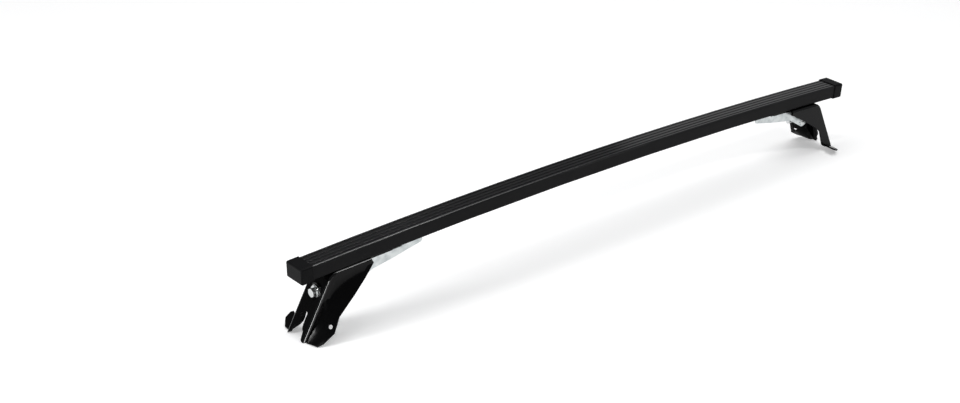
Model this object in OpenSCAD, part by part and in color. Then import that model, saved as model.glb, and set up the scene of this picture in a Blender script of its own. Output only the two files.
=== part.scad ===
// Roof rack crossbar: a bowed steel bar with a ribbed black coat, end caps and
// two clamp feet. X runs along the bar, Y is the way the car drives, Z is up.
// The origin is on the ground under the middle of the bar. Each foot is drawn in
// a frame of its own: x outboard along the bar, y across it, z square to it,
// with zero on the bar's underside.

/* [Bar] */
// Length over the end caps
bar_len = 1200; // [1000:10:1400]
// Height of the bar's middle above its ends
bow = 15.4; // [8:0.2:24]
// Width of the steel tube
tube_w = 30; // [26:1:34]
// Height of the steel tube
tube_h = 20; // [18:1:24]
// Wall of the steel tube
tube_wall = 1.5; // [1.2:0.1:2]
// Outer corner radius of the steel tube
tube_corner = 3; // [2.2:0.1:3.5]
// Coat on the tube's sides
coat_side = 3.2; // [1.6:0.1:3.6]
// Coat under the tube
coat_under = 1.4; // [1.2:0.1:2]
// Coat on top of the tube
coat_top = 2; // [1.8:0.1:2.6]
// Outer corner radius of the coat
coat_corner = 2.5; // [1.5:0.1:3]
// Number of grooves in the coat's top
groove_count = 4; // [2:1:5]
// Width of a groove
groove_w = 2.2; // [1:0.1:2.6]
// Depth of a groove
groove_d = 0.9; // [0.5:0.1:1.2]
// Space between the tube and its coat
coat_fit = 0.05; // [0.03:0.01:0.15]

/* [End caps] */
// Length of a cap along the bar
cap_len = 21.5; // [16:0.5:30]
// How far a cap stands proud of the coat
cap_proud = 1.5; // [1:0.1:2.5]
// Wall across the end of a cap
cap_end = 3; // [2:0.5:5]
// Radius of a cap's edges
cap_corner = 3; // [1.5:0.5:3.5]
// Space between a cap and the coat inside it
cap_fit = 0.15; // [0.1:0.05:0.3]
// Length of the plug inside the tube, past the cap's end wall
plug_len = 38; // [25:1:50]
// Wall of the plug
plug_wall = 2; // [1.5:0.1:3]
// Space between the plug's ribs and the tube
plug_fit = 0.1; // [0.05:0.05:0.3]
// Height of the plug's ribs
plug_rib = 1; // [0.5:0.1:1.5]

/* [Feet] */
// Distance of each foot's frame from the end of the bar
foot_from_end = 140; // [120:5:200]
// How far the left foot is drawn out from its middle place
left_reach = 6; // [-8:1:8]
// How far the right foot is drawn out from its middle place
right_reach = -6; // [-8:1:8]
// Travel of a foot each way from its middle place
foot_travel = 10; // [8:1:12]
// Thickness of the foot's sheet steel
sheet = 3; // [2.5:0.1:3.5]
// Height of a foot, from the bar's underside to its toes
foot_h = 96.5; // [90:1:110]
// How far out the toes stand from the foot's frame
toe_out = 136; // [125:1:145]
// How far out the top plate and the front plate would meet
brow_out = 81; // [76:1:86]
// Outer radius of the bend between top plate and front plate
brow_r = 20; // [12:1:24]
// Outer radius of the folds between these plates and the two sides
fold_r = 4; // [3.5:0.5:5]
// Outer face of the wide cheek, from the bar's middle plane
cheek_a = 20; // [19:0.5:23]
// Outer face of the narrow leg, from the bar's middle plane
cheek_b = 24; // [22:0.5:26]
// Inboard end of the cheeks
cheek_in = 8; // [4:1:14]
// Length of the tongue under the bar, inboard of the cheeks
tongue_len = 42; // [38:1:46]
// Width of the tongue
tongue_w = 30; // [24:1:32]
// How far the wide cheek flares out at its inner edge
flare = 26; // [16:1:30]
// Width of the fork slot in the front plate
fork_w = 6.5; // [6:0.1:8]
// Distance of the fork slot's closed end down the front plate
fork_top = 67; // [62:1:74]
// Diameter of the small hole in the front plate
peg_hole_d = 5.5; // [4:0.1:7]
// Diameter of the hole in the wide cheek
cheek_hole_d = 6.5; // [5:0.1:8]
// Diameter of the two dimples in the wide cheek
dimple_d = 4; // [3:0.5:5]
// Depth of those dimples
dimple_deep = 0.8; // [0.5:0.1:1.2]
// Length of the outward toe on the narrow leg
toe_len = 26; // [18:1:30]
// Tilt of that toe along the bar
toe_angle = 21; // [18:0.5:25]

/* [Arms] */
// Outer width of the arm's channel
arm_w = 26; // [24:0.5:30]
// Thickness of the arm's sheet
arm_sheet = 2.5; // [2:0.1:3]
// Inboard end of the arm, from the foot's frame
arm_in = 86; // [74:1:92]
// Radius of the arm's inboard end
arm_end_r = 4.6; // [3.5:0.1:5]
// Distance of the arm's eye from the foot's frame
eye_out = 45; // [42:1:52]
// Depth of the arm's eye below the bar
eye_down = 31.5; // [29:0.5:34]
// Radius of the arm's rounded end
eye_r = 10; // [9:0.5:11]

/* [Fasteners] */
// Diameter of the clamp bolt and of the arm's screws
bolt_d = 8; // [8:0.5:9]
// Width of a hexagon across its flats
hex_w = 13; // [12:0.5:15]
// Height of the clamp bolt's hexagon, over its flange
hex_h = 6.5; // [5:0.5:8]
// Diameter of the clamp bolt's flange
flange_d = 18; // [16:0.5:20]
// Thickness of the clamp bolt's flange
flange_t = 1.8; // [1.4:0.1:2.4]
// Length of the clamp bolt under its flange
bolt_len = 72; // [68:1:80]
// Diameter of the barrel nut
barrel_d = 14; // [12:0.5:15]
// Outer diameter of the seat pressed in the front plate for the clamp bolt
seat_d = 26; // [24:0.5:28]
// Thickness of the seat's floor
seat_t = 4; // [3.5:0.1:5]
// How far the seat's face is sunk in the front plate, at the bolt's axis
seat_sunk = 3.5; // [2:0.1:5]
// Diameter of the clamp bolt's washer
bolt_washer_d = 20; // [18:0.5:22]
// Clearance all round in a bolt's hole
hole_gap = 0.5; // [0.3:0.1:0.8]
// Running clearance of the clamp bolt in the barrel nut
thread_gap = 0.05; // [0.02:0.01:0.09]
// Distance of the inner screw from the foot's frame
screw_in = 60; // [55:1:66]
// Distance of the outer screw from the foot's frame
screw_out = 5; // [2:1:8]
// Diameter of a screw's head
screw_head_d = 14; // [12:0.5:15]
// Height of a screw's head
screw_head_h = 4.5; // [3.5:0.5:5]
// Diameter of a plain washer
washer_d = 16; // [14:0.5:18]
// Thickness of a plain washer
washer_t = 1.6; // [1.2:0.1:2]
// Thickness of the nut plate inside the tube
plate_t = 5; // [4:0.5:6]
// Width of the nut plate
plate_w = 22; // [16:1:24]
// How far the nut plate reaches past its screws
plate_over = 12; // [8:1:16]
// Space at each seat between parts that move apart
seat_gap = 0.3; // [0.2:0.05:0.4]

/* [Hidden] */

// Segments of a small round shape, and of the bar's very large bow
round_fn = 48;
bow_fn = 1440;
$fn = round_fn;

foot_at = bar_len / 2 - foot_from_end;
bar_w = tube_w + 2 * (coat_side + coat_fit);
bar_h = tube_h + coat_top + coat_under + 2 * coat_fit;
// Radius of the bow at the bar's top and at its underside
top_r = (pow(bar_len / 2, 2) + pow(bow, 2)) / (2 * bow);
under_r = top_r - bar_h;
tube_mid_r = top_r - coat_top - coat_fit - tube_h / 2;
// Angle of the bow from the bar's middle to its end, a cap's end wall and a foot
end_angle = asin(bar_len / 2 / top_r);
wall_angle = cap_end / top_r * 180 / PI;
cut_angle = end_angle - wall_angle;
foot_angle = asin(foot_at / under_r);
// Slack that a straight foot needs under the bowed bar
bow_slack = pow(max(arm_in, brow_out), 2) / (2 * under_r);
top_gap = seat_gap + bow_slack;
// Height of the bar's top over the ground, with the lower foot's toes on it
low_reach = max(left_reach, right_reach);
stand_h = top_r - under_r * cos(foot_angle)
  + foot_h * cos(foot_angle) + (toe_out + low_reach) * sin(foot_angle);

steel = [0.6, 0.62, 0.64];
black_coat = [0.13, 0.13, 0.14];
black_paint = [0.05, 0.05, 0.06];
zinc = [0.8, 0.82, 0.83];

// Rectangle with round corners
module round_rect(w, h, r) {
  union() {
    square([w - 2 * r, h], center = true);
    square([w, h - 2 * r], center = true);
    for (x = [-1, 1], y = [-1, 1])
      translate([x * (w / 2 - r), y * (h / 2 - r)]) circle(r, $fn = round_fn);
  }
}

// Sweeps a section, drawn with its height along x, round the bow. The ends are
// cut square to the bow.
module along_bow(half_angle) {
  function radial(r, side) = [side * r * sin(half_angle), r * cos(half_angle)];
  outside = top_r + bar_h;
  inside = top_r - 2 * bar_h;
  translate([0, 0, stand_h - top_r]) rotate([90, 0, 0]) intersection() {
    rotate_extrude($fn = bow_fn) children();
    linear_extrude(2 * bar_w, center = true) polygon([
      radial(inside, 1), radial(outside, 1), radial(outside, -1), radial(inside, -1)
    ]);
  }
}

module tube_section(w, h, r) {
  translate([tube_mid_r, 0]) round_rect(h, w, r);
}

module bar_tube() color(steel) difference() {
  along_bow(cut_angle) difference() {
    tube_section(tube_w, tube_h, tube_corner);
    tube_section(tube_w - 2 * tube_wall, tube_h - 2 * tube_wall,
      tube_corner - tube_wall);
  }
  screw_holes(tube_h);
}

// Grooves are spaced evenly over the flat of the coat's top
module bar_coat() color(black_coat) {
  groove_pitch = (bar_w - 2 * coat_corner) / groove_count;
  difference() {
    along_bow(cut_angle) difference() {
      translate([top_r - bar_h / 2, 0]) round_rect(bar_h, bar_w, coat_corner);
      tube_section(tube_w + 2 * coat_fit, tube_h + 2 * coat_fit,
        tube_corner + coat_fit);
      for (i = [0 : groove_count - 1])
        translate([top_r, (i - (groove_count - 1) / 2) * groove_pitch])
          square([2 * groove_d, groove_w], center = true);
    }
    screw_holes(tube_h);
  }
}

// Clearance holes up into the bar for the arms' screws
module screw_holes(depth) {
  for (side = [-1, 1], x = [-screw_in, -screw_out])
    at_foot(side, 0)
      translate([x, 0, -1]) cylinder(d = bolt_d + 2 * hole_gap, h = depth / 2);
}

// A cap is a cup over the coat's end, with a hollow ribbed plug inside the tube.
// It is drawn with z outwards along the bar and zero at the end of the tube.
module end_cap(side) color(black_coat) {
  cup = cap_len - cap_end;
  plug_w = tube_w - 2 * (tube_wall + plug_fit + plug_rib);
  plug_h = tube_h - 2 * (tube_wall + plug_fit + plug_rib);
  tube_in_w = plug_w + 2 * plug_rib;
  tube_in_h = plug_h + 2 * plug_rib;
  plug_shift = (coat_under - coat_top) / 2;
  at_end(side) {
    difference() {
      translate([0, 0, -cup]) union() {
        linear_extrude(cap_len - cap_corner)
          round_rect(bar_h + 2 * cap_proud, bar_w + 2 * cap_proud, cap_corner);
        translate([0, 0, cap_len - cap_corner])
          dome_block(bar_h + 2 * cap_proud, bar_w + 2 * cap_proud, cap_corner);
      }
      translate([0, 0, -cup - 1]) linear_extrude(cup + 1 + coat_fit)
        round_rect(bar_h + 2 * cap_fit, bar_w + 2 * cap_fit, coat_corner + cap_fit);
    }
    translate([plug_shift, 0, -plug_len]) difference() {
      union() {
        linear_extrude(plug_len + cap_end / 2)
          round_rect(plug_h, plug_w, plug_wall);
        for (x = [-1, 1])
          translate([x * plug_h / 4, 0, (plug_len + cap_end / 2) / 2])
            cube([plug_rib, tube_in_w, plug_len + cap_end / 2], center = true);
        for (y = [-1, 0, 1])
          translate([0, y * plug_w / 3, (plug_len + cap_end / 2) / 2])
            cube([tube_in_h, plug_rib, plug_len + cap_end / 2], center = true);
      }
      translate([0, 0, -1]) linear_extrude(plug_len + 1)
        round_rect(plug_h - 2 * plug_wall, plug_w - 2 * plug_wall, plug_wall / 2);
    }
  }
}

// Block as high as its corner radius, with its upper edges and corners rounded
module dome_block(w, h, r) {
  intersection() {
    translate([-w / 2, -h / 2, 0]) cube([w, h, r]);
    union() {
      translate([-w / 2 + r, -h / 2 + r, 0]) cube([w - 2 * r, h - 2 * r, r]);
      for (x = [-1, 1]) translate([x * (w / 2 - r), 0, 0])
        rotate([90, 0, 0]) cylinder(r = r, h = h - 2 * r, center = true);
      for (y = [-1, 1]) translate([0, y * (h / 2 - r), 0])
        rotate([0, 90, 0]) cylinder(r = r, h = w - 2 * r, center = true);
      for (x = [-1, 1], y = [-1, 1])
        translate([x * (w / 2 - r), y * (h / 2 - r), 0]) sphere(r);
    }
  }
}

// Frame at the tube's end: z outwards along the bar, x up
module at_end(side) {
  rotate([0, 0, side > 0 ? 0 : 180])
    translate([0, 0, stand_h - top_r])
      rotate([0, cut_angle, 0])
        translate([0, 0, top_r - bar_h / 2])
          rotate([0, 90, 0]) mirror([1, 0, 0]) children();
}

// A foot's frame, drawn out by some reach along the bar
module at_foot(side, reach) {
  rotate([0, 0, side > 0 ? 0 : 180])
    translate([0, 0, stand_h - top_r])
      rotate([0, foot_angle, 0])
        translate([reach, 0, under_r]) children();
}

// The foot's plates end inside the thickness of its two sides, and their faces
// stand just proud of the sides' edges
web_a = cheek_a - sheet / 2;
web_b = cheek_b - sheet / 2;
edge_sunk = 0.3;

// The front plate slopes from the brow to the toes
slope = atan((toe_out - brow_out) / (foot_h - top_gap));
front_len = (foot_h - top_gap) / cos(slope);
brow_turn = 90 - slope;
brow_cut = brow_r * tan(brow_turn / 2);

// Frame on the front plate: x across the foot, y down the plate, z outwards
module on_front() {
  translate([brow_out, 0, -top_gap])
    rotate([0, 90 - slope, 0]) rotate([0, 0, -90]) mirror([1, 0, 0]) children();
}

// Filled side outline of the foot's web, some way in from its outer face
module web_side(inset, spare) {
  r = brow_r - inset;
  start = cheek_in - tongue_len - spare;
  middle = [brow_out - brow_cut, -top_gap - brow_r];
  toe = [toe_out, -foot_h] - inset * [cos(slope), sin(slope)]
    + spare * [sin(slope), -cos(slope)];
  translate(middle) circle(r);
  polygon([
    [start, -top_gap - inset], [middle[0], -top_gap - inset], middle,
    middle + r * [cos(slope), sin(slope)], toe, [start, toe[1]]
  ]);
}

// What is cut away below the forked end of the front plate
module fork_outline() {
  polygon([
    [cheek_a, front_len - 0.4], [15, front_len - 0.6], [12, front_len - 1.4],
    [10.3, front_len - 4], [8.5, front_len - 15], [5.5, front_len - 17.6],
    [fork_w / 2 + 0.5, front_len - 22.6], [fork_w / 2, fork_top + fork_w / 2],
    [-fork_w / 2, fork_top + fork_w / 2], [-fork_w / 2 - 2, front_len - 22.6],
    [-6.5, front_len - 18.6], [-13, front_len - 17], [-15.5, front_len - 11.5],
    [-16, front_len - 5.5], [-19, front_len - 3],
    [-cheek_b, front_len - 1], [-cheek_b, 2 * front_len], [cheek_a, 2 * front_len]
  ]);
}

// Top plate, brow and front plate are one bent strip. Its tongue under the bar is
// slotted for the arm's outer screw, and its front is forked.
module web() difference() {
  translate([0, web_a, 0]) rotate([90, 0, 0]) linear_extrude(web_a + web_b)
    difference() {
      web_side(0, 0);
      web_side(sheet, sheet);
    }
  for (y = [tongue_w / 2, -tongue_w / 2 - cheek_b])
    translate([cheek_in - 2 * tongue_len, y, -2 * sheet])
      cube([2 * tongue_len, cheek_b, 3 * sheet]);
  for (x = [-foot_travel, foot_travel])
    translate([x - screw_out, 0, -2 * sheet])
      cylinder(d = bolt_d + 2 * hole_gap, h = 3 * sheet);
  translate([-screw_out, 0, -sheet / 2])
    cube([2 * foot_travel, bolt_d + 2 * hole_gap, 3 * sheet], center = true);
  on_front() {
    translate([0, 0, -2 * sheet]) linear_extrude(3 * sheet) fork_outline();
    translate([0, fork_top + fork_w / 2, -2 * sheet])
      cylinder(d = fork_w, h = 3 * sheet);
    translate([-7.5, fork_top + 7.5, -2 * sheet])
      cylinder(d = peg_hole_d, h = 3 * sheet);
  }
}

// A point of a side's outline, drawn on a foot that is 136 out and 96.5 high and
// scaled to this one
function drawn(x, z) = [x * (toe_out / 136), z * (foot_h / 96.5)];

// The wide cheek is one pressed sheet with a flat part and a flare. The flare's
// rows run from the crease to the free inner edge, and its first row lies along
// the top plate.
crease = [
  [brow_out - 17, -2.2], drawn(74, -12), drawn(82, -24), drawn(91.5, -38),
  drawn(100, -50.5), drawn(108.5, -70), drawn(121, -84), drawn(133, -95.9)
];
rim = [
  [cheek_in, -2.2], [cheek_in - 3, -8.5], drawn(27, -22), drawn(54, -40),
  drawn(86.5, -59), drawn(99, -81), drawn(118, -90.5), drawn(127, -93.5)
];
rim_out = [0, 0, 0.33, 0.6, 0.88, 1, 0.96, 0.8];
rows = len(crease);
flare_steps = 6;
brow_steps = 8;

// A point on the flare's outer face: row i, and j steps out from the crease
function flare_at(i, j) =
  let (t = j / flare_steps, a = crease[i], b = rim[i])
  [
    a[0] + (b[0] - a[0]) * t,
    cheek_a + flare * rim_out[i] * t,
    a[1] + (b[1] - a[1]) * t
  ];
function unit(v) = v / norm(v);
function sheet_normal(i, j) = i * j == 0 ? [0, 1, 0] : unit(cross(
  flare_at(min(i + 1, rows - 1), j) - flare_at(i - 1, j),
  flare_at(i, min(j + 1, flare_steps)) - flare_at(i, j - 1)
));

// The sides' edge along the top plate, round the brow and down the front plate,
// with a point for each point of the flare's first row and of the crease
function front_edge(z) =
  [brow_out - (z + top_gap) * tan(slope) - edge_sunk / cos(slope), z];
side_edge = concat(
  [for (j = [flare_steps : -1 : 0]) [flare_at(0, j)[0], -top_gap - edge_sunk]],
  [
    for (k = [0.5 : brow_steps])
      let (a = 90 - k * brow_turn / brow_steps)
      [brow_out - brow_cut, -top_gap - brow_r]
        + (brow_r - edge_sunk) * [cos(a), sin(a)]
  ],
  [for (i = [1 : rows - 1]) front_edge(crease[i][1])]
);

module cheek() {
  flared = [for (i = [0 : rows - 1], j = [0 : flare_steps]) flare_at(i, j)];
  flared_back = [
    for (i = [0 : rows - 1], j = [0 : flare_steps])
      flare_at(i, j) - sheet * sheet_normal(i, j)
  ];
  flat = [for (p = side_edge) [p[0], cheek_a, p[1]]];
  flat_back = [for (p = side_edge) [p[0], cheek_a - sheet, p[1]]];
  n = len(flared) + len(flat);
  function at(i, j) = i * (flare_steps + 1) + j;
  function edge_at(k) = len(flared) + k;
  // The point of the flare's border that a point of the edge is joined to
  function joined(k) = k <= flare_steps ? at(0, flare_steps - k)
    : at(max(0, k - flare_steps - brow_steps), 0);
  outside = concat(
    [
      for (i = [0 : rows - 2], j = [0 : flare_steps - 1])
        each [
          [at(i, j), at(i + 1, j + 1), at(i + 1, j)],
          [at(i, j), at(i, j + 1), at(i + 1, j + 1)]
        ]
    ],
    [
      for (k = [0 : len(flat) - 2])
        each concat(
          [[edge_at(k + 1), edge_at(k), joined(k)]],
          joined(k) == joined(k + 1) ? []
            : [[edge_at(k + 1), joined(k), joined(k + 1)]]
        )
    ]
  );
  inside = [for (f = outside) [f[2] + n, f[1] + n, f[0] + n]];
  border = concat(
    [for (k = [0 : len(flat) - 1]) edge_at(k)],
    [for (j = [0 : flare_steps]) at(rows - 1, j)],
    [for (i = [rows - 2 : -1 : 0]) at(i, flare_steps)]
  );
  sides = [
    for (k = [0 : len(border) - 1])
      let (p = border[k], q = border[(k + 1) % len(border)])
      each [[p, q, q + n], [p, q + n, p + n]]
  ];
  polyhedron(concat(flared, flat, flared_back, flat_back),
    concat(outside, inside, sides));
}

// Narrow leg on the other side, with its toe turned outwards
module leg() {
  translate([0, sheet - cheek_b, 0]) rotate([90, 0, 0]) linear_extrude(sheet)
    polygon(concat(side_edge, [
      drawn(130, -95.3), drawn(112, -91), drawn(106.5, -88), drawn(103.5, -84),
      drawn(99, -73), drawn(92, -57.5), drawn(84, -50.5), drawn(36, -23),
      [cheek_in - 3, -8]
    ]));
  toe_at = drawn(117, -91.5);
  translate([toe_at[0], sheet / 2 - cheek_b, toe_at[1]]) rotate([0, toe_angle, 0])
    linear_extrude(sheet) polygon([
      [-6, 0], [13.9, 0], [13.3, -12], [4.5, -toe_len + 3], [0.5, -toe_len - 1],
      [-11, -toe_len - 3], [-15, -toe_len]
    ]);
}

// What is cut away to round the fold at one side: the space outside a round
// corner, swept along the top plate, round the brow and down the front plate. The
// side's outer face is at y = face.
fold_steps = 7;
fold_turns = 16;
fold_over = 0.5;
fold_section = concat(
  [[2, 2], [-fold_r - fold_over, 2], [-fold_r - fold_over, fold_over / 10]],
  [
    for (k = [1 : fold_steps - 1])
      let (t = 90 * k / fold_steps) fold_r * [sin(t) - 1, cos(t) - 1]
  ],
  [[fold_over / 10, -fold_r - fold_over], [2, -fold_r - fold_over]]
);
// Each station of the sweep: x, z and the slant of the plate's outward side
fold_path = concat(
  [[cheek_in - 6, -top_gap, 90]],
  [
    for (k = [0 : fold_turns])
      let (a = 90 - k * brow_turn / fold_turns)
      [
        brow_out - brow_cut + brow_r * cos(a), -top_gap - brow_r + brow_r * sin(a), a
      ]
  ],
  [[toe_out + 10 * sin(slope), -foot_h - 10 * cos(slope), slope]]
);

module fold_cut(face) {
  m = len(fold_section);
  last = (len(fold_path) - 1) * m;
  polyhedron(
    [
      for (p = fold_path, q = fold_section)
        [p[0] + q[1] * cos(p[2]), face + q[0], p[1] + q[1] * sin(p[2])]
    ],
    concat(
      [
        for (i = [0 : len(fold_path) - 2], k = [0 : m - 1])
          let (a = i * m + k, b = i * m + (k + 1) % m)
          each [[a, b + m, b], [a, a + m, b + m]]
      ],
      [for (k = [1 : m - 2]) each [[0, k, k + 1], [last, last + k + 1, last + k]]]
    )
  );
}

// Where the clamp bolt's axis meets the outside of the front plate
seat_at = brow_out + (eye_down - top_gap) * tan(slope);
seat_wall = 2;

// Frame on the seat's face: z outwards along the clamp bolt
module at_seat() {
  translate([seat_at - seat_sunk, 0, -eye_down]) rotate([0, 90, 0]) children();
}

// Seat pressed into the front plate, square to the clamp bolt
module bolt_seat() {
  at_seat() translate([0, 0, -seat_t]) cylinder(d = seat_d, h = seat_t);
  intersection() {
    at_seat() translate([0, 0, -seat_t]) cylinder(d = seat_d, h = seat_d);
    on_front() translate([0, front_len / 2, -seat_d - sheet / 4])
      cube([2 * seat_d, front_len, 2 * seat_d], center = true);
  }
}

// Frame on the flare's outer face, part of the way from one row to the next: z
// outwards, starting some way under the face
module on_flare(row, j, under) {
  i = floor(row);
  p = flare_at(i, j) + (row - i) * (flare_at(i + 1, j) - flare_at(i, j));
  n = sheet_normal(i + 1, j);
  translate(p) rotate([0, acos(n[2]), atan2(n[1], n[0])]) translate([0, 0, under])
    children();
}

module foot(side, reach) color(black_paint) at_foot(side, reach) difference() {
  union() {
    web();
    cheek();
    leg();
    bolt_seat();
  }
  // Pocket and hole for the clamp bolt
  at_seat() cylinder(d = seat_d - 2 * seat_wall, h = seat_d);
  at_seat() cylinder(d = bolt_d + 2 * hole_gap, h = 3 * seat_t, center = true);
  fold_cut(cheek_a);
  mirror([0, 1, 0]) fold_cut(cheek_b);
  // Hole and two small dimples in the flared cheek, square to its face
  on_flare(4.8, 4.2, -2 * sheet) cylinder(d = cheek_hole_d, h = 3 * sheet);
  on_flare(3.9, 3.2, -dimple_deep) cylinder(d = dimple_d, h = sheet);
  on_flare(4.7, 1.8, -dimple_deep) cylinder(d = dimple_d, h = sheet);
}

arm_top = top_gap + sheet + seat_gap;
step_at = cheek_in - tongue_len - foot_travel - 2;

// Side wall of the arm
module arm_side() {
  difference() {
    union() {
      polygon([
        [arm_end_r - arm_in, -top_gap], [step_at - 3, -top_gap], [step_at, -arm_top],
        [22, -arm_top], [eye_out + eye_r * sin(42), -eye_down + eye_r * cos(42)],
        [eye_out - eye_r * sin(42), -eye_down - eye_r * cos(42)],
        [10, -23.5], [-29, -18.5], [arm_end_r - arm_in, -top_gap - 2 * arm_end_r]
      ]);
      translate([arm_end_r - arm_in, -top_gap - arm_end_r]) circle(arm_end_r);
      translate([eye_out, -eye_down]) circle(eye_r);
    }
    translate([eye_out, -eye_down]) circle(d = barrel_d + 2 * thread_gap);
  }
}

// Back of the arm, which steps up to the bar inboard of the tongue
module arm_back() {
  start = 2 * arm_end_r - arm_in;
  polygon([
    [start, -top_gap], [step_at - 3, -top_gap], [step_at, -arm_top],
    [22, -arm_top], [38, -arm_top - 14], [36, -arm_top - 16],
    [20.5, -arm_top - arm_sheet], [step_at - 1, -arm_top - arm_sheet],
    [step_at - 4, -top_gap - arm_sheet], [start, -top_gap - arm_sheet]
  ]);
}

module arm(side) color(zinc) at_foot(side, 0) difference() {
  union() {
    for (y = [-arm_w / 2 + arm_sheet, arm_w / 2])
      translate([0, y, 0]) rotate([90, 0, 0]) linear_extrude(arm_sheet) arm_side();
    translate([0, arm_w / 2 - 0.5, 0]) rotate([90, 0, 0])
      linear_extrude(arm_w - 1) arm_back();
  }
  for (x = [-screw_in, -screw_out])
    translate([x, 0, -20]) cylinder(d = bolt_d + 2 * hole_gap, h = 30);
}

// Barrel nut across the arm's eyes, with the clamp bolt's thread through it
module barrel_nut(side) color(zinc) at_foot(side, 0)
  translate([eye_out, 0, -eye_down]) difference() {
    rotate([90, 0, 0]) cylinder(d = barrel_d, h = arm_w + 2, center = true);
    rotate([0, 90, 0])
      cylinder(d = bolt_d + 2 * thread_gap, h = 2 * barrel_d, center = true);
    for (y = [-1, 1])
      translate([0, y * (arm_w / 2 + 1), 0]) cube([barrel_d, 1, 1.6], center = true);
  }

// Plain washer between the seat and the clamp bolt
module bolt_washer(side, reach) color(zinc) at_foot(side, reach)
  at_seat() difference() {
    cylinder(d = bolt_washer_d, h = washer_t);
    translate([0, 0, -1]) cylinder(d = bolt_d + hole_gap, h = washer_t + 2);
  }

module hexagon(w, h) {
  cylinder(d = w / cos(30), h = h, $fn = 6);
}

// Clamp bolt: hexagon head with a flange, its shank through seat and barrel nut
module clamp_bolt(side, reach) color(zinc) at_foot(side, reach)
  at_seat() translate([0, 0, washer_t + seat_gap]) {
    intersection() {
      translate([0, 0, flange_t / 2]) hexagon(hex_w, hex_h + flange_t / 2);
      cylinder(d1 = hex_w * 1.55, d2 = hex_w * 1.04, h = hex_h + flange_t);
    }
    cylinder(d = flange_d, h = flange_t);
    translate([0, 0, -bolt_len]) cylinder(d = bolt_d, h = bolt_len + 1);
  }

module at_screws(side) {
  at_foot(side, 0) {
    translate([-screw_out, 0, -arm_top - arm_sheet]) children();
    translate([-screw_in, 0, -top_gap - arm_sheet]) children();
  }
}

// Plain washers under the heads of the arm's screws
module screw_washers(side) color(zinc) at_screws(side)
  translate([0, 0, -washer_t]) difference() {
    cylinder(d = washer_d, h = washer_t);
    translate([0, 0, -1]) cylinder(d = bolt_d + hole_gap, h = washer_t + 2);
  }

// Round-headed screws with a hexagon socket, up into the nut plate
module arm_screws(side) color(zinc) {
  at_foot(side, 0) {
    translate([-screw_out, 0, -arm_top - arm_sheet - washer_t])
      arm_screw(arm_top + arm_sheet + washer_t + plate_top);
    translate([-screw_in, 0, -top_gap - arm_sheet - washer_t])
      arm_screw(top_gap + arm_sheet + washer_t + plate_top);
  }
}

plate_top = coat_under + 2 * coat_fit + tube_wall + plate_t + 1.5;

module arm_screw(grip) {
  translate([0, 0, -screw_head_h]) difference() {
    union() {
      cylinder(d1 = screw_head_d - 4, d2 = screw_head_d, h = screw_head_h);
      cylinder(d = bolt_d, h = screw_head_h + grip);
    }
    translate([0, 0, -1]) hexagon(5, 3.5);
  }
}

// Plate inside the tube with a threaded hole for each screw
module nut_plate(side) color(steel) at_foot(side, 0)
  translate([0, 0, coat_under + 2 * coat_fit + tube_wall + 0.05]) difference() {
    translate([-screw_in - plate_over, -plate_w / 2, 0])
      cube([screw_in - screw_out + 2 * plate_over, plate_w, plate_t]);
    for (x = [-screw_in, -screw_out])
      translate([x, 0, -1]) cylinder(d = bolt_d + 2 * thread_gap, h = plate_t + 2);
  }

module left_end_cap() end_cap(-1);
module right_end_cap() end_cap(1);
module left_foot() foot(-1, left_reach);
module right_foot() foot(1, right_reach);
module left_arm() arm(-1);
module right_arm() arm(1);
module left_barrel_nut() barrel_nut(-1);
module right_barrel_nut() barrel_nut(1);
module left_clamp_bolt() clamp_bolt(-1, left_reach);
module right_clamp_bolt() clamp_bolt(1, right_reach);
module left_bolt_washer() bolt_washer(-1, left_reach);
module right_bolt_washer() bolt_washer(1, right_reach);
module left_arm_screws() arm_screws(-1);
module right_arm_screws() arm_screws(1);
module left_screw_washers() screw_washers(-1);
module right_screw_washers() screw_washers(1);
module left_nut_plate() nut_plate(-1);
module right_nut_plate() nut_plate(1);

bar_tube();
bar_coat();
left_end_cap();
right_end_cap();
left_foot();
right_foot();
left_arm();
right_arm();
left_barrel_nut();
right_barrel_nut();
left_clamp_bolt();
right_clamp_bolt();
left_bolt_washer();
right_bolt_washer();
left_arm_screws();
right_arm_screws();
left_screw_washers();
right_screw_washers();
left_nut_plate();
right_nut_plate();
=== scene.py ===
import math

import bpy
from mathutils import Matrix, Vector


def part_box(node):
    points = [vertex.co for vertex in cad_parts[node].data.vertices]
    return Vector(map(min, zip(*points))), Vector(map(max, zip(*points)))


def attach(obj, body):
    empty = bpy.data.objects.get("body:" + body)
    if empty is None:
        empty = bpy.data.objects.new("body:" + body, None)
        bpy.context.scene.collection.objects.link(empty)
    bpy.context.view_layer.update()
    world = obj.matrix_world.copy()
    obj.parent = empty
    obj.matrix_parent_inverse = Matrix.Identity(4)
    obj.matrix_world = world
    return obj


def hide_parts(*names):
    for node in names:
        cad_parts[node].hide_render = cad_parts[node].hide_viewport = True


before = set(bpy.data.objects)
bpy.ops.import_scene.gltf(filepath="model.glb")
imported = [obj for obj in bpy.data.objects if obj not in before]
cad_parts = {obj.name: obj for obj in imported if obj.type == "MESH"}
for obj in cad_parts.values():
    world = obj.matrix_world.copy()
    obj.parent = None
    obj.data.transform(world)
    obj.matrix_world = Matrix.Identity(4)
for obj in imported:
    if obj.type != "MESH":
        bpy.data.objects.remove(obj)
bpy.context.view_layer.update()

# Camera
# It has the photograph's viewpoint, on the near left and a little above, looks
# along the bar, and leans a little to one side.
stand_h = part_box("bar_coat")[1][2]
azimuth = math.radians(-41.32)
elevation = math.radians(25.71)
roll = math.radians(1.98)
aim = Vector((-0.25, 0, stand_h - 0.0137))
distance = 2.769
sensor_width = 36
photo_width_px = 960
focal_length_px = 1797
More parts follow.
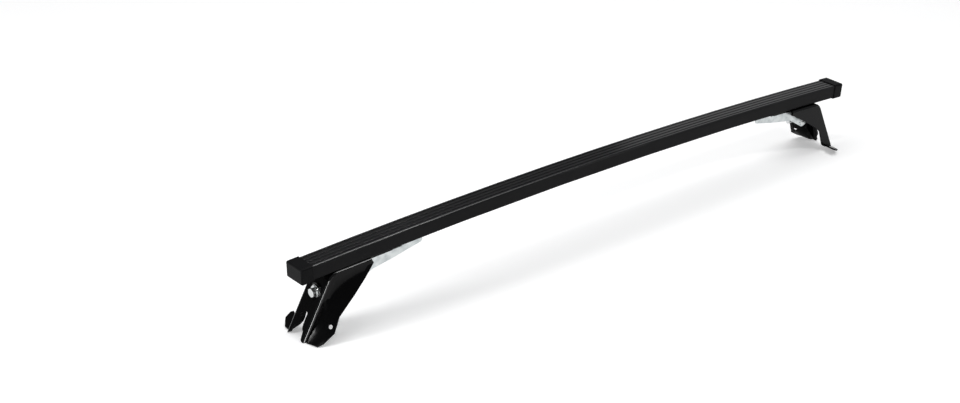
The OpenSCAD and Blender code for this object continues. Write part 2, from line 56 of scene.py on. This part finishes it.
backwards = Vector((
    math.sin(azimuth) * math.cos(elevation),
    -math.cos(azimuth) * math.cos(elevation),
    math.sin(elevation),
))
sideways = Vector((math.cos(azimuth), math.sin(azimuth), 0))
upwards = backwards.cross(sideways)
right = sideways * math.cos(roll) + upwards * math.sin(roll)
up = upwards * math.cos(roll) - sideways * math.sin(roll)
bpy.ops.object.camera_add()
camera = bpy.context.object
camera.name = "photo_camera"
camera.matrix_world = Matrix.Translation(aim + backwards * distance) @ Matrix(
    (right, up, backwards)).transposed().to_4x4()
camera.data.sensor_width = sensor_width
camera.data.lens = sensor_width * focal_length_px / photo_width_px
bpy.context.scene.camera = camera
bpy.context.scene.view_settings.view_transform = "Standard"

# Studio light
# A big soft box hangs overhead. Small ones light the near end, the near foot's
# folds, the coat's front corner and the ribs at the far end.
world = bpy.data.worlds.new("studio")
bpy.context.scene.world = world
world.use_nodes = True
room = world.node_tree.nodes["Background"]
room.inputs["Color"].default_value = (0.95, 0.97, 1, 1)
room.inputs["Strength"].default_value = 0.14


def soft_box(name, stands, faces, width, height, power):
    """A rectangular studio lamp that faces a point."""
    bpy.ops.object.light_add(type="AREA", location=stands)
    lamp = bpy.context.object
    lamp.name = name
    lamp.data.shape = "RECTANGLE"
    lamp.data.size = width
    lamp.data.size_y = height
    lamp.data.energy = power
    lamp.rotation_euler = (Vector(faces) - Vector(stands)).to_track_quat("-Z", "Y").to_euler()


soft_box("overhead_box", stands=(0.3, 0.4, 3.4), faces=(0.1, 0, 0), width=4.0, height=2.6, power=72)
soft_box("key_box", stands=(-2.5, 0.62, 1.3), faces=(-0.5, 0, 0.05), width=0.6, height=0.6, power=28)
soft_box("fold_box", stands=(-2.3, -1.8, 0.42), faces=(-0.55, 0, 0.06), width=0.35, height=0.35, power=8)
soft_box("side_box", stands=(0.7, -1.3, 1.9), faces=(0.7, 0, 0.1), width=0.8, height=0.3, power=10)
soft_box("end_box", stands=(2.2, 1.35, 1.0), faces=(0.4, 0, 0.1), width=1.0, height=0.6, power=0.9)

# Floor
# A plain white sheet under the bar, pale enough to burn out around the bar but
# not under it, where it keeps the bar's soft shadow.
floor_size = 24
floor_glow = 0.33
bpy.ops.mesh.primitive_plane_add(size=floor_size, location=(0, 0, 0))
floor = bpy.context.object
floor.name = "studio_floor"
floor_paper = bpy.data.materials.new("floor_paper")
floor_paper.use_nodes = True
paper = floor_paper.node_tree.nodes["Principled BSDF"]
paper.inputs["Base Color"].default_value = (0.9, 0.9, 0.9, 1)
paper.inputs["Roughness"].default_value = 0.9
paper.inputs["Specular IOR Level"].default_value = 0.1
paper.inputs["Emission Color"].default_value = (1, 1, 1, 1)
light_path = floor_paper.node_tree.nodes.new("ShaderNodeLightPath")
glow = floor_paper.node_tree.nodes.new("ShaderNodeMath")
glow.operation = "MULTIPLY"
glow.inputs[1].default_value = floor_glow
floor_paper.node_tree.links.new(light_path.outputs["Is Camera Ray"], glow.inputs[0])
floor_paper.node_tree.links.new(glow.outputs[0], paper.inputs["Emission Strength"])
floor.data.materials.append(floor_paper)

# Bar tube
# A rectangular steel tube, bent to a slight bow, with the nut plates inside it.
# Both are plain mill-finished steel, hidden in the coat.

# Every finish shares this group: fine grain in the surface, and dust or wear
# that changes the colour and the gloss a little from place to place
wear = bpy.data.node_groups.new("grain_and_wear", "ShaderNodeTree")
for socket, kind in (
    ("Colour", "NodeSocketColor"), ("Worn Colour", "NodeSocketColor"),
    ("Roughness", "NodeSocketFloat"), ("Spread", "NodeSocketFloat"),
    ("Cloud Scale", "NodeSocketFloat"), ("Grain Scale", "NodeSocketFloat"),
    ("Wear", "NodeSocketFloat"), ("Grain Depth", "NodeSocketFloat"),
    ("Stretch", "NodeSocketVector"),
):
    wear.interface.new_socket(socket, in_out="INPUT", socket_type=kind)
for socket, kind in (
    ("Colour", "NodeSocketColor"), ("Roughness", "NodeSocketFloat"),
    ("Normal", "NodeSocketVector"),
):
    wear.interface.new_socket(socket, in_out="OUTPUT", socket_type=kind)
wear_in = wear.nodes.new("NodeGroupInput")
wear_out = wear.nodes.new("NodeGroupOutput")
place = wear.nodes.new("ShaderNodeTexCoord")
stretched = wear.nodes.new("ShaderNodeVectorMath")
stretched.operation = "MULTIPLY"
cloud = wear.nodes.new("ShaderNodeTexNoise")
cloud.inputs["Detail"].default_value = 5
grain = wear.nodes.new("ShaderNodeTexNoise")
grain.inputs["Detail"].default_value = 3
patches = wear.nodes.new("ShaderNodeMapRange")
patches.inputs["From Min"].default_value = 0.42
patches.inputs["From Max"].default_value = 0.72
amount = wear.nodes.new("ShaderNodeMath")
amount.operation = "MULTIPLY"
tint = wear.nodes.new("ShaderNodeMix")
tint.data_type = "RGBA"
spread = wear.nodes.new("ShaderNodeMath")
spread.operation = "MULTIPLY_ADD"
centred = wear.nodes.new("ShaderNodeMath")
centred.operation = "SUBTRACT"
centred.inputs[1].default_value = 0.5
relief = wear.nodes.new("ShaderNodeBump")
relief.inputs["Distance"].default_value = 0.0002
for start, end in (
    (place.outputs["Object"], stretched.inputs[0]),
    (wear_in.outputs["Stretch"], stretched.inputs[1]),
    (place.outputs["Object"], cloud.inputs["Vector"]),
    (wear_in.outputs["Cloud Scale"], cloud.inputs["Scale"]),
    (stretched.outputs[0], grain.inputs["Vector"]),
    (wear_in.outputs["Grain Scale"], grain.inputs["Scale"]),
    (cloud.outputs["Fac"], patches.inputs["Value"]),
    (patches.outputs["Result"], amount.inputs[0]),
    (wear_in.outputs["Wear"], amount.inputs[1]),
    (amount.outputs[0], tint.inputs["Factor"]),
    (wear_in.outputs["Colour"], tint.inputs["A"]),
    (wear_in.outputs["Worn Colour"], tint.inputs["B"]),
    (tint.outputs["Result"], wear_out.inputs["Colour"]),
    (cloud.outputs["Fac"], centred.inputs[0]),
    (centred.outputs[0], spread.inputs[0]),
    (wear_in.outputs["Spread"], spread.inputs[1]),
    (wear_in.outputs["Roughness"], spread.inputs[2]),
    (spread.outputs[0], wear_out.inputs["Roughness"]),
    (grain.outputs["Fac"], relief.inputs["Height"]),
    (wear_in.outputs["Grain Depth"], relief.inputs["Strength"]),
    (relief.outputs["Normal"], wear_out.inputs["Normal"]),
):
    wear.links.new(start, end)


def finish(name, colour, worn, roughness, gloss_spread, cloud_scale, grain_scale, wear_share,
           grain_depth, stretch=(1, 1, 1), metallic=0.0, shine=0.5):
    """A material whose colour, gloss and grain come from the shared group."""
    material = bpy.data.materials.new(name)
    material.use_nodes = True
    shader = material.node_tree.nodes["Principled BSDF"]
    shader.inputs["Metallic"].default_value = metallic
    shader.inputs["Specular IOR Level"].default_value = shine
    surface = material.node_tree.nodes.new("ShaderNodeGroup")
    surface.node_tree = wear
    surface.inputs["Colour"].default_value = (*colour, 1)
    surface.inputs["Worn Colour"].default_value = (*worn, 1)
    surface.inputs["Roughness"].default_value = roughness
    surface.inputs["Spread"].default_value = gloss_spread
    surface.inputs["Cloud Scale"].default_value = cloud_scale
    surface.inputs["Grain Scale"].default_value = grain_scale
    surface.inputs["Wear"].default_value = wear_share
    surface.inputs["Grain Depth"].default_value = grain_depth
    surface.inputs["Stretch"].default_value = stretch
    links = material.node_tree.links
    links.new(surface.outputs["Colour"], shader.inputs["Base Color"])
    links.new(surface.outputs["Roughness"], shader.inputs["Roughness"])
    links.new(surface.outputs["Normal"], shader.inputs["Normal"])
    return material


mill_steel = finish(
    "mill_steel", colour=(0.42, 0.43, 0.44), worn=(0.3, 0.27, 0.24), roughness=0.4, gloss_spread=0.2,
    cloud_scale=30, grain_scale=900, wear_share=0.5, grain_depth=0.3, stretch=(0.05, 1, 1), metallic=1.0)
for node in ("bar_tube", "left_nut_plate", "right_nut_plate"):
    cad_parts[node].data.materials.clear()
    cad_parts[node].data.materials.append(mill_steel)

# Coat
# A black plastic profile round the tube, with grooves along its top. It is
# extruded, so its fine grain runs along the bar.
coat_plastic = finish(
    "coat_plastic", colour=(0.011, 0.011, 0.0115), worn=(0.015, 0.015, 0.0155), roughness=0.3,
    gloss_spread=0.1, cloud_scale=14, grain_scale=1400, wear_share=0.6, grain_depth=0.35,
    stretch=(0.04, 1, 1), shine=0.06)


def rounded_copy(node, name, edge_radius, material, body):
    """Stands for a CAD node: its triangles merged and its edges rounded."""
    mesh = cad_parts[node].data.copy()
    piece = bpy.data.objects.new(name, mesh)
    bpy.context.scene.collection.objects.link(piece)
    bpy.ops.object.select_all(action="DESELECT")
    piece.select_set(True)
    bpy.context.view_layer.objects.active = piece
    bpy.ops.object.mode_set(mode="EDIT")
    bpy.ops.mesh.select_all(action="SELECT")
    bpy.ops.mesh.remove_doubles(threshold=2e-6)
    bpy.ops.mesh.dissolve_limited(angle_limit=math.radians(0.4))
    bpy.ops.object.mode_set(mode="OBJECT")
    bpy.ops.object.shade_smooth_by_angle(angle=math.radians(40))
    edges = piece.modifiers.new("rounded_edges", "BEVEL")
    edges.width = edge_radius
    edges.segments = 2
    edges.limit_method = "ANGLE"
    edges.angle_limit = math.radians(32)
    bpy.ops.object.modifier_apply(modifier=edges.name)
    flat = piece.modifiers.new("flat_faces", "WEIGHTED_NORMAL")
    flat.keep_sharp = True
    bpy.ops.object.modifier_apply(modifier=flat.name)
    mesh.materials.clear()
    mesh.materials.append(material)
    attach(piece, body)
    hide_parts(node)
    return piece


def coat_by_mark(material, mark_name):
    """The clear gloss of a material follows a mark on the piece's faces."""
    mark = material.node_tree.nodes.new("ShaderNodeAttribute")
    mark.attribute_name = mark_name
    shader = material.node_tree.nodes["Principled BSDF"]
    material.node_tree.links.new(mark.outputs["Fac"], shader.inputs["Coat Weight"])
    return shader


coat_shader = coat_by_mark(coat_plastic, "smooth_lip")
coat_shader.inputs["Coat Roughness"].default_value = 0.12
coat_shader.inputs["Coat IOR"].default_value = 1.75
coat = rounded_copy("bar_coat", "coat", edge_radius=0.0008, material=coat_plastic, body="bar")
# The die leaves the grooves' lips smoothest, then the upper corners and the ribs
half_length = 0.6
bow = 0.0154
bow_radius = (half_length ** 2 + bow ** 2) / (2 * bow)
lip_depth = 0.0006
rib_depth = 0.0003
corner_from = 0.0145
wall_up = 0.3
flat_up = 0.96
lip_gloss = 1.0
corner_gloss = 0.5
rib_gloss = 0.45
lip_marks = coat.data.attributes.new("smooth_lip", "FLOAT", "FACE").data
for face, mark in zip(coat.data.polygons, lip_marks):
    along, across, height = face.center
    below_top = bow_radius - math.hypot(along, height - stand_h + bow_radius)
    rounded = wall_up < face.normal.z < flat_up
    if rounded and below_top < lip_depth:
        mark.value = lip_gloss
    elif rounded and abs(across) > corner_from:
        mark.value = corner_gloss
    elif face.normal.z > flat_up and below_top < rib_depth:
        mark.value = rib_gloss

# End caps
# Moulded black plastic cups, pressed over the ends of the coat. The mould gives
# them a finer and duller texture than the coat has.
cap_plastic = finish(
    "cap_plastic", colour=(0.005, 0.005, 0.0055), worn=(0.008, 0.008, 0.0085), roughness=0.42,
    gloss_spread=0.1, cloud_scale=40, grain_scale=1800, wear_share=0.5, grain_depth=0.6, shine=0.08)
for side in ("left", "right"):
    rounded_copy(side + "_end_cap", side + "_cap", edge_radius=0.0004, material=cap_plastic,
                 body="bar")

# Feet
# Pressed steel sheet, powder coated in gloss black, with its cut edges rounded
# over by the paint. Each foot slides along the bar's underside.
gloss_black = finish(
    "gloss_black", colour=(0.0012, 0.0012, 0.0013), worn=(0.0025, 0.0025, 0.0027), roughness=0.16,
    gloss_spread=0.1, cloud_scale=22, grain_scale=260, wear_share=0.6, grain_depth=0.2, shine=0.16)
coat_by_mark(gloss_black, "fold")
foot_at = 0.46
bar_height = 0.0235
seat_radius = bow_radius - bar_height
brow_out = 0.081
front_slope = math.radians(29.83)
flared_side = 0.02
plain_side = 0.024
fold_depth = 0.0072
fold_width = 0.0043
fold_slack = 0.0002
plate_aside = 0.05
side_aside = 0.985
tilt = math.asin(foot_at / seat_radius)
for side, sign, reach in (("left", -1, 0.006), ("right", 1, -0.006)):
    foot = rounded_copy(side + "_foot", side + "_clamp_foot", edge_radius=0.0007,
                        material=gloss_black, body=side + "_clamp")
    # The press leaves the paint smoother along the folds between plates and sides.
    # In the foot's own frame x is outboard, y across it and z square to the bar.
    fold_marks = foot.data.attributes.new("fold", "FLOAT", "FACE").data
    for face, mark in zip(foot.data.polygons, fold_marks):
        outward = sign * face.center.x
        above = face.center.z - stand_h + bow_radius
        x = outward * math.cos(tilt) - above * math.sin(tilt) - reach
        z = outward * math.sin(tilt) + above * math.cos(tilt) - seat_radius
        y = sign * face.center.y
        depth = min(-z, (brow_out - x) * math.cos(front_slope) - z * math.sin(front_slope))
        aside = flared_side - y if y > 0 else plain_side + y
        turned = plate_aside < abs(face.normal.y) < side_aside
        mark.value = float(depth < fold_depth and -fold_slack < aside < fold_width and turned)

# Arms
# Folded steel channels that carry the barrel nuts, screwed under the bar. Their
# pale zinc plate is clouded in patches.
zinc_plate = finish(
    "zinc_plate", colour=(0.88, 0.92, 0.92), worn=(0.56, 0.61, 0.62), roughness=0.34, gloss_spread=0.24,
    cloud_scale=75, grain_scale=700, wear_share=0.85, grain_depth=0.3, metallic=1.0)
for side in ("left", "right"):
    rounded_copy(side + "_arm", side + "_bracket_arm", edge_radius=0.0005, material=zinc_plate,
                 body="bar")

# Fasteners
# Bright zinc-plated bolts, washers, screws and barrel nuts. The clamp bolt turns
# as its foot slides, its washer stays on the foot, and the rest is on the bar.
bright_zinc = finish(
    "bright_zinc", colour=(0.86, 0.88, 0.88), worn=(0.6, 0.62, 0.6), roughness=0.24, gloss_spread=0.16,
    cloud_scale=90, grain_scale=1500, wear_share=0.5, grain_depth=0.25, metallic=1.0)
for side in ("left", "right"):
    for node, body in (
        ("clamp_bolt", side + "_bolt"), ("bolt_washer", side + "_clamp"),
        ("barrel_nut", "bar"), ("arm_screws", "bar"), ("screw_washers", "bar"),
    ):
        rounded_copy(f"{side}_{node}", f"{side}_{node}_plated", edge_radius=0.0002,
                     material=bright_zinc, body=body)
